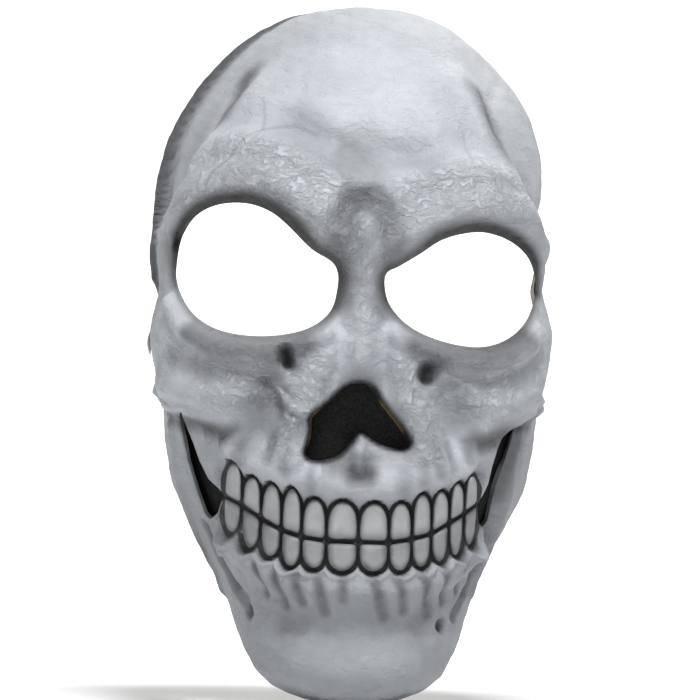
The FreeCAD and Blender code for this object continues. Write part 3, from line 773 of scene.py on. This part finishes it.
links.new(solid_edge.outputs["Result"], edge_paint_and_shade.inputs[1])
edge = nodes.new("ShaderNodeMixRGB")
edge.inputs["Color2"].default_value = (0.012, 0.012, 0.014, 1)
links.new(edge_paint_and_shade.outputs[0], edge.inputs["Fac"])
links.new(bone.outputs["Color"], edge.inputs["Color1"])
links.new(edge.outputs["Color"], tooth_skin.inputs["Base Color"])
chip = noise(nodes, links, place, 480.0, 5.0)
chip_bump = bumps(nodes, links, chip.outputs["Fac"], 0.3, 0.0006)
links.new(chip_bump.outputs["Normal"], tooth_skin.inputs["Normal"])

for row in ("upper", "lower"):
    for k in range(12):
        side = "right" if k < 6 else "left"
        number = 6 - k if k < 6 else k - 5
        bpy.ops.mesh.primitive_cube_add(size=2.0)
        tooth = bpy.context.object
        tooth.name = f"{row}_tooth_{side}_{number}_latex"
        bpy.ops.object.mode_set(mode="EDIT")
        bpy.ops.mesh.subdivide(number_cuts=23)
        bpy.ops.object.mode_set(mode="OBJECT")
        co = np.empty(len(tooth.data.vertices) * 3)
        tooth.data.vertices.foreach_get("co", co)
        co = co.reshape(-1, 3)
        step = 1 if row == "upper" else -1
        # u runs across, v from the bite (-1) to the gum (+1), w from the back (-1) to the front (+1)
        u, w, v = co[:, 0], -co[:, 1], step * co[:, 2]
        ring_at = np.maximum(np.abs(u), np.abs(v))
        n = np.where(v > 0, 2.0, 6.0)
        ring = (np.abs(u / (ring_at + 1e-9)) ** n + np.abs(v / (ring_at + 1e-9)) ** n + 1e-6) ** (-1 / n)
        ring = np.where(ring_at > 1e-6, ring, 1.0)
        # inside 11/12 of the block is the tooth, the rest is a thin painted skirt round it
        body = np.interp(ring_at, [0, 0.75, 0.8333, 0.9167, 1], [0, 0.86, 0.965, 1, 1]) / (ring_at + 1e-9)
        body = np.where(ring_at > 1e-6, body, 1.0)
        t = (v * ring * body + 1) / 2
        half_wide = (seams[k + 1] - seams[k]) / 2 - 0.35
        tx = (seams[k] + seams[k + 1]) / 2 + u * ring * body * half_wide * (1 - 0.14 * t)
        bite = np.interp(tx, seams, bite_at) + 0.8 * step
        tz = bite + (gum_line[row][k] - bite) * t
        skirt_from, skirt_wide = 0.9167, 0.0833
        skirt = np.clip((ring_at - skirt_from) / skirt_wide, 0, 1) * (1.3 + 0.7 * np.clip(v, 0, 1))
        middle = np.array([(seams[k] + seams[k + 1]) / 2, (bite.mean() + gum_line[row][k]) / 2])
        away = np.hypot(tx - middle[0], tz - middle[1]) + 1e-9
        tx, tz = tx + skirt * (tx - middle[0]) / away, tz + skirt * (tz - middle[1]) / away
        rho = np.minimum(ring_at * body, 1.0)
        swell = np.clip(1 - rho ** 5, 0, 1) ** 0.6
        slant = 0.35 * math.sin(k * 2.1 + step) * u * ring * body
        bulge = np.where(w > 0.99, (3.3 + 0.5 * np.clip(v, 0, 1) + slant) * swell, 0)
        ty = front_y(tx, tz) - 1.25 + 0.75 * (1 - w) - bulge
        tooth.data.vertices.foreach_set("co", (np.column_stack([tx, ty, tz]) * 0.001).ravel())
        tooth.data.update()
        # painted shade: the lower row is greyed more than the upper, each tooth darkens towards its rim,
        # and the gum end darkens too
        wash_and_shade = 0.10 if row == "upper" else 0.34
        rim_paint_and_shade = np.interp(rho, [0, 0.5, 0.86, 0.965, 1], [wash_and_shade, wash_and_shade + 0.02, wash_and_shade + 0.20, 0.55, 0.97])
        rim_paint_and_shade = np.where((ring_at > 0.93) | (w < 0.99), 0.97, rim_paint_and_shade)
        rim_paint_and_shade = np.maximum(rim_paint_and_shade, 0.25 * np.clip((t - 0.72) / 0.28, 0, 1))
        paint = tooth.data.color_attributes.new("paint", "FLOAT_COLOR", "POINT")
        rgba = np.column_stack([rim_paint_and_shade, rim_paint_and_shade * 0, rim_paint_and_shade * 0, rim_paint_and_shade * 0 + 1])
        paint.data.foreach_set("color", rgba.ravel().astype(np.float32))
        tooth.data.materials.append(enamel)
        bpy.ops.object.shade_smooth()
        tooth.select_set(False)
        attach(tooth, "face" if row == "upper" else "jaw")
        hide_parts(f"{row}_tooth_{side}_{number}")

# ---------------------------------------------------------------- gauze
# Thin black stretch gauze glued inside: a round panel behind the nose, and a band behind the mouth.
gauze = bpy.data.materials.new("black_gauze_weave")
gauze.use_nodes = True
nodes, links = gauze.node_tree.nodes, gauze.node_tree.links
cloth = nodes["Principled BSDF"]
cloth.inputs["Roughness"].default_value = 0.9
cloth.inputs["Specular IOR Level"].default_value = 0.15
place = nodes.new("ShaderNodeTexCoord")
weave = nodes.new("ShaderNodeTexVoronoi")
weave.inputs["Scale"].default_value = 900.0
links.new(place.outputs["Object"], weave.inputs["Vector"])
thread = tones(nodes, links, weave.outputs["Distance"], (0.003, 0.003, 0.003, 1),
               (0.016, 0.016, 0.017, 1), 0.0, 0.7)
links.new(thread.outputs["Color"], cloth.inputs["Base Color"])
weave_bump = bumps(nodes, links, weave.outputs["Distance"], 0.3, 0.0004)
links.new(weave_bump.outputs["Normal"], cloth.inputs["Normal"])

for name, across, down in (("nose_panel", 60, 50), ("mouth_panel", 150, 70)):
    bpy.ops.mesh.primitive_grid_add(x_subdivisions=across, y_subdivisions=down, size=2.0)
    panel = bpy.context.object
    panel.name = name
    co = np.empty(len(panel.data.vertices) * 3)
    panel.data.vertices.foreach_get("co", co)
    co = co.reshape(-1, 3)
    if name == "nose_panel":
        # a round cut, slack enough to lie in a shallow curve
        round_in = np.maximum(np.abs(co[:, 0]), np.abs(co[:, 1])) / (np.hypot(co[:, 0], co[:, 1]) + 1e-9)
        gx, gz = co[:, 0] * round_in * 31.0, -63.0 + co[:, 1] * round_in * 23.0
        gy = front_y(gx, gz) + 9.5
    else:
        # a band round the front of the face, higher at its ends, and 6 mm inside the skin at
        # the sides, 9 mm in front
        angle = co[:, 0] * math.radians(84)
        top = -56 - 30 * np.clip(1 - (np.abs(co[:, 0]) / 0.62) ** 6, 0, 1)
        gz = -132 + (co[:, 1] + 1) / 2 * (top + 132)
        place_s = (gz - mid_z) / half_tall
        ring = np.sqrt(1 - place_s ** 2)
        half_in = along(stations[:, 1] / round_off, place_s) * ring - 6.0
        deep_in = along((stations[:, 2] - stations[:, 3]) / round_off, place_s) * ring - 9.0
        n = along(stations[:, 4], place_s)
        gx = half_in * np.sign(angle) * np.abs(np.sin(angle)) ** (2 / n)
        gy = along(stations[:, 2], place_s) - deep_in * np.cos(angle) ** (2 / n)
    panel.data.vertices.foreach_set("co", (np.column_stack([gx, gy, gz]) * 0.001).ravel())
    panel.data.update()
    bpy.ops.object.shade_smooth()
    panel.data.materials.append(gauze)
    panel.select_set(False)
nose_panel = bpy.data.objects["nose_panel"]
mouth_panel = bpy.data.objects["mouth_panel"]
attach(nose_panel, "face")
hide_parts("nose_gauze")
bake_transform(mouth_panel)
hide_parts("mouth_gauze")

# ---------------------------------------------------------------- nape strap
# Black ribbed elastic webbing, 20 mm wide, with a folded and stitched end under each rivet.
webbing = bpy.data.materials.new("elastic_rib")
webbing.use_nodes = True
nodes, links = webbing.node_tree.nodes, webbing.node_tree.links
band = nodes["Principled BSDF"]
band.inputs["Roughness"].default_value = 0.85
band.inputs["Specular IOR Level"].default_value = 0.25
place = nodes.new("ShaderNodeTexCoord")
ribs = nodes.new("ShaderNodeTexWave")
ribs.wave_type = "BANDS"
ribs.bands_direction = "Z"
ribs.inputs["Scale"].default_value = 210.0
ribs.inputs["Distortion"].default_value = 0.6
ribs.inputs["Detail"].default_value = 1.0
links.new(place.outputs["Object"], ribs.inputs["Vector"])
rib_tone = tones(nodes, links, ribs.outputs["Fac"], (0.006, 0.006, 0.007, 1), (0.030, 0.030, 0.033, 1))
links.new(rib_tone.outputs["Color"], band.inputs["Base Color"])
rib_bump = bumps(nodes, links, ribs.outputs["Fac"], 0.6, 0.0005)
links.new(rib_bump.outputs["Normal"], band.inputs["Normal"])
route = loop([(82.6, -24.0), (82.6, -14.0), (81.7, 12.0), (77.0, 36.0), (67.0, 59.0), (49.0, 79.0),
              (26.0, 90.5), (0.0, 94.0), (-26.0, 90.5), (-49.0, 79.0), (-67.0, 59.0), (-77.0, 36.0),
              (-81.7, 12.0), (-82.6, -14.0), (-82.6, -24.0)], closed=False, parts=8)
drop = math.tan(math.radians(12.0))
for layer_name, stretch_of, off, thick in (("strap_webbing", route, 0.0, 1.5),
                                           ("strap_fold_left", route[:22], 1.6, 1.2),
                                           ("strap_fold_right", route[-22:], 1.6, 1.2)):
    run = np.gradient(stretch_of, axis=0)
    run /= np.linalg.norm(run, axis=1)[:, None]
    out = np.column_stack([run[:, 1], -run[:, 0]])
    ring_points = []
    for k in range(24):
        # a flat oval: 20 mm wide, with rounded selvedges
        a = 2 * math.pi * k / 24
        across = 10.0 * math.copysign(abs(math.sin(a)) ** 0.35, math.sin(a))
        through = thick / 2 * math.copysign(abs(math.cos(a)) ** 0.35, math.cos(a))
        place_at = stretch_of + out * (off - thick / 2 + through)
        height = -30.0 + across - (place_at[:, 1] + 14.0) * drop
        ring_points.append(np.column_stack([place_at, height]))
    grid = np.stack(ring_points, axis=1)
    count = len(stretch_of)
    quads = [(i * 24 + k, i * 24 + (k + 1) % 24, (i + 1) * 24 + (k + 1) % 24, (i + 1) * 24 + k)
             for i in range(count - 1) for k in range(24)]
    quads += [tuple(range(24))[::-1], tuple(range((count - 1) * 24, count * 24))]
    mesh = bpy.data.meshes.new(layer_name)
    mesh.from_pydata((grid.reshape(-1, 3) * 0.001).tolist(), [], quads)
    mesh.update()
    strap_piece = bpy.data.objects.new(layer_name, mesh)
    bpy.context.collection.objects.link(strap_piece)
    bpy.context.view_layer.objects.active = strap_piece
    strap_piece.select_set(True)
    bpy.ops.object.mode_set(mode="EDIT")
    bpy.ops.mesh.select_all(action="SELECT")
    bpy.ops.mesh.normals_make_consistent(inside=False)
    bpy.ops.object.mode_set(mode="OBJECT")
    bpy.ops.object.shade_smooth_by_angle(angle=math.radians(60))
    strap_piece.data.materials.append(webbing)
    strap_piece.select_set(False)
    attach(strap_piece, "strap")
    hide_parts("nape_strap")

# Two rows of stitches hold each folded end
thread_mat = webbing.copy()
thread_mat.name = "strap_thread"
for side, word in ((-1, "right"), (1, "left")):
    bpy.ops.object.select_all(action="DESELECT")
    stitches = []
    for row_y in (-6.0, -1.0):
        for n in range(8):
            bpy.ops.mesh.primitive_uv_sphere_add(segments=8, ring_count=6, radius=1.0)
            stitch = bpy.context.object
            middle = (side * 80.95, row_y, -30.0 - 7.7 + n * 2.2 - (row_y + 14.0) * drop)
            for vert in stitch.data.vertices:
                vert.co = Vector((vert.co.x * 0.35 + middle[0], vert.co.y * 0.35 + middle[1],
                                  vert.co.z * 0.85 + middle[2])) * 0.001
            stitches.append(stitch)
    for stitch in stitches:
        stitch.select_set(True)
    bpy.context.view_layer.objects.active = stitches[0]
    bpy.ops.object.join()
    seam = bpy.context.object
    seam.name = f"strap_stitches_{word}"
    seam.data.materials.append(thread_mat)
    bpy.ops.object.shade_smooth()
    seam.select_set(False)
    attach(seam, "strap")

# ---------------------------------------------------------------- rivets and patches
# Black lacquered steel rivets, worn a little, hold the strap's ends. The caps and posts keep the
# solids' own shape. A round cloth patch behind each one spreads the pull.
metal = bpy.data.materials.new("rivet_lacquer")
metal.use_nodes = True
nodes, links = metal.node_tree.nodes, metal.node_tree.links
lacquer = nodes["Principled BSDF"]
lacquer.inputs["Metallic"].default_value = 1.0
place = nodes.new("ShaderNodeTexCoord")
wear = noise(nodes, links, place, 300.0)
wear_tone = tones(nodes, links, wear.outputs["Fac"], (0.05, 0.05, 0.055, 1), (0.16, 0.16, 0.17, 1))
links.new(wear_tone.outputs["Color"], lacquer.inputs["Base Color"])
wear_rough = nodes.new("ShaderNodeMapRange")
wear_rough.inputs["To Min"].default_value = 0.25
wear_rough.inputs["To Max"].default_value = 0.5
links.new(wear.outputs["Fac"], wear_rough.inputs["Value"])
links.new(wear_rough.outputs["Result"], lacquer.inputs["Roughness"])
patch_cloth = gauze.copy()
patch_cloth.name = "patch_weave"
for word in ("right", "left"):
    for part in ("rivet_cap", "rivet_post"):
        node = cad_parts[f"{part}_{word}"]
        node.data.materials.clear()
        node.data.materials.append(metal)

# The patches, glued inside the skin
for side, word in ((-1, "right"), (1, "left")):
    bpy.ops.mesh.primitive_circle_add(vertices=48, radius=1.0, fill_type="TRIFAN")
    patch = bpy.context.object
    patch.name = f"patch_cloth_{word}"
    bpy.ops.object.mode_set(mode="EDIT")
    bpy.ops.mesh.select_all(action="SELECT")
    bpy.ops.mesh.subdivide(number_cuts=5)
    bpy.ops.object.mode_set(mode="OBJECT")
    co = np.array([v.co for v in patch.data.vertices])
    far_out = np.hypot(co[:, 0], co[:, 1])
    frayed = 1 + 0.02 * np.sin(17 * np.arctan2(co[:, 1], co[:, 0])) * (far_out > 0.95)
    py, pz = -14.0 + 10.3 * co[:, 0] * frayed, -30.0 + 10.3 * co[:, 1] * frayed
    place_s = (pz - mid_z) / half_tall
    ring = np.sqrt(1 - place_s ** 2)
    half_at = along(stations[:, 1] / round_off, place_s) * ring
    wide_at = along(stations[:, 2], place_s)
    reach_back = np.where(py > wide_at, 120 * ring,
                          along((stations[:, 2] - stations[:, 3]) / round_off, place_s) * ring)
    n = np.where(py > wide_at, 2.0, along(stations[:, 4], place_s))
    px = half_at * (1 - np.abs((py - wide_at) / reach_back) ** n) ** (1 / n) - 2.3
    patch.data.vertices.foreach_set("co", (np.column_stack([side * px, py, pz]) * 0.001).ravel())
    patch.data.update()
    cloth_wall = patch.modifiers.new("cloth", "SOLIDIFY")
    cloth_wall.thickness = 0.0009
    cloth_wall.offset = 1.0 if side < 0 else -1.0
    bpy.ops.object.modifier_apply(modifier="cloth")
    bpy.ops.object.mode_set(mode="EDIT")
    bpy.ops.mesh.select_all(action="SELECT")
    bpy.ops.mesh.normals_make_consistent(inside=False)
    bpy.ops.object.mode_set(mode="OBJECT")
    patch.data.materials.append(patch_cloth)
    patch.select_set(False)
    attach(patch, "face")
    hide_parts(f"strap_patch_{word}")

# ---------------------------------------------------------------- stage
# A pale paper floor that curves up far behind the mask, three soft lamps, and the camera.
floor_mat = bpy.data.materials.new("floor_paper")
floor_mat.use_nodes = True
nodes, links = floor_mat.node_tree.nodes, floor_mat.node_tree.links
paper = nodes["Principled BSDF"]
paper.inputs["Roughness"].default_value = 0.9
paper.inputs["Emission Color"].default_value = (1, 1, 1, 1)
place = nodes.new("ShaderNodeTexCoord")
# the sweep glows only well behind the mask, so no light comes up from in front of it
depth = nodes.new("ShaderNodeSeparateXYZ")
links.new(place.outputs["Object"], depth.inputs["Vector"])
glow = nodes.new("ShaderNodeMapRange")
glow.inputs["From Min"].default_value = 0.10
glow.inputs["From Max"].default_value = 0.60
glow.inputs["To Max"].default_value = 0.90
links.new(depth.outputs["Y"], glow.inputs["Value"])
links.new(glow.outputs["Result"], paper.inputs["Emission Strength"])
fibre = noise(nodes, links, place, 3.0)
paper_tone = tones(nodes, links, fibre.outputs["Fac"], (0.80, 0.80, 0.80, 1), (0.86, 0.86, 0.86, 1))
links.new(paper_tone.outputs["Color"], paper.inputs["Base Color"])
bpy.ops.mesh.primitive_grid_add(x_subdivisions=2, y_subdivisions=60, size=2.0)
floor = bpy.context.object
floor.name = "floor"
for vert in floor.data.vertices:
    run = (vert.co.y + 1) * 9.0
    rise = max(run - 12.0, 0.0)
    bend = min(rise / 1.2, math.pi / 2)
    y = -6.0 + min(run, 12.0) + 1.2 * math.sin(bend)
    z = -0.190 + 1.2 * (1 - math.cos(bend)) + max(rise - 1.2 * math.pi / 2, 0.0) * 2
    vert.co = (vert.co.x * 7.0, y, z)
bpy.ops.object.shade_smooth()
floor.data.materials.append(floor_mat)
floor.select_set(False)

for name, place_at, aim, size, power in (
        ("key", (0.15, -1.00, 1.70), (0, 0, -0.03), 0.5, 43.0),
        ("fill", (-1.0, -1.8, 0.25), (0, 0, -0.03), 1.0, 7.0),
        ("back", (0.6, 1.4, 1.2), (0, 0, 0.0), 0.8, 14.0)):
    bpy.ops.object.light_add(type="AREA", location=place_at)
    lamp = bpy.context.object
    lamp.name = name
    lamp.data.energy = power
    lamp.data.size = size
    lamp.rotation_euler = (Vector(aim) - Vector(place_at)).to_track_quat("-Z", "Y").to_euler()
    lamp.select_set(False)
world = bpy.data.worlds.new("studio")
world.use_nodes = True
world.node_tree.nodes["Background"].inputs["Color"].default_value = (1.0, 1.0, 1.0, 1)
world.node_tree.nodes["Background"].inputs["Strength"].default_value = 0.24
bpy.context.scene.world = world
bpy.context.scene.view_settings.view_transform = "Standard"

# The camera is level with the face and a little to the viewer's left of it
aim = Vector((0.0, -0.025, -0.0317))
angle = math.radians(2.9)
distance = 4.0
bpy.ops.object.camera_add(location=aim + Vector((-math.sin(angle), -math.cos(angle), 0)) * distance)
camera = bpy.context.object
camera.data.sensor_width = 36.0
camera.data.lens = 36.0 * distance / 0.3122
direction = (aim - camera.location).to_track_quat("-Z", "Y")
camera.rotation_euler = direction.to_euler()
camera.rotation_euler.rotate_axis("Z", math.radians(1.0))
camera.data.clip_end = 50.0
bpy.context.scene.camera = camera
camera.select_set(False)
